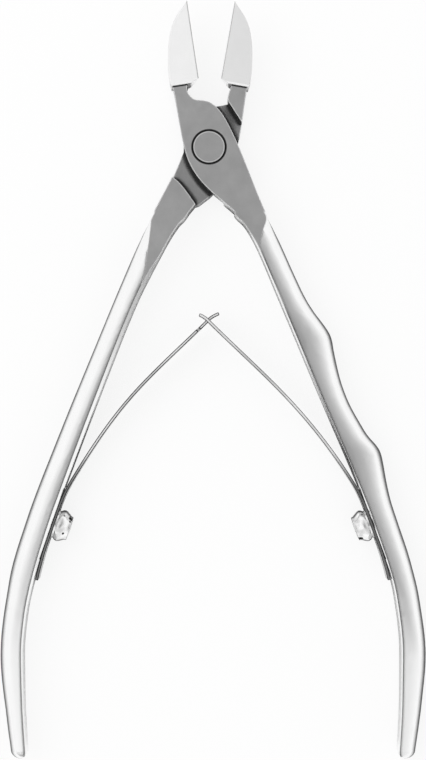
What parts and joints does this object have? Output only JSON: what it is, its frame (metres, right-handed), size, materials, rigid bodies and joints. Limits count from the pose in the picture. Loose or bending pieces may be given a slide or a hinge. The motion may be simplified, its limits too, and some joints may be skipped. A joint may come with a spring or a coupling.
{
  "type": "nail nipper",
  "caption": "Plier-type nail clipper: crossed steel levers on a lap-joint pivot screw, opposed cutting blades and crossed leaf springs between long curved handles.",
  "frame": {"origin": "on the pivot axis, in the plane of the underside that the clipper lies on", "axes": "+Z along the pivot axis, out of the front face; +Y towards the jaws; +X to the right, seen from the front"},
  "size_m": [0.0744, 0.1317, 0.0072],
  "materials": {
    "lever_steel": "polished",
    "spring_steel": "satin",
    "screw_steel": "satin"
  },
  "bodies": {
    "back": {"back_lever": "lever_steel", "pivot_screw": "screw_steel", "left_spring_base": "spring_steel", "left_spring_screw": "screw_steel", "left_washer": "screw_steel"},
    "front": {"front_lever": "lever_steel", "right_spring_base": "spring_steel", "right_spring_screw": "screw_steel", "right_washer": "screw_steel"},
    "left_leaf": {"left_spring_leaf": "spring_steel"},
    "right_leaf": {"right_spring_leaf": "spring_steel"}
  },
  "joints": [
    {"name": "lever_pivot", "type": "hinge", "parent": "back", "child": "front", "pos_m": [0, 0, 0], "axis": [0, 0, 1], "range_deg": [-18.4, 0], "stiffness_Nm_per_rad": 3},
    {"name": "left_leaf_bend", "type": "hinge", "parent": "back", "child": "left_leaf", "pos_m": [-0.02392, -0.05799, 0.0035], "axis": [0, 0, 1], "range_deg": [0, 8.6]},
    {"name": "right_leaf_bend", "type": "hinge", "parent": "front", "child": "right_leaf", "pos_m": [0.02492, -0.05806, 0.0035], "axis": [0, 0, 1], "range_deg": [-8.6, 0]}
  ],
  "couplings": [
    {"joint": "left_leaf_bend", "follows": "lever_pivot", "ratio": -0.46},
    {"joint": "right_leaf_bend", "follows": "lever_pivot", "ratio": 0.46}
  ]
}
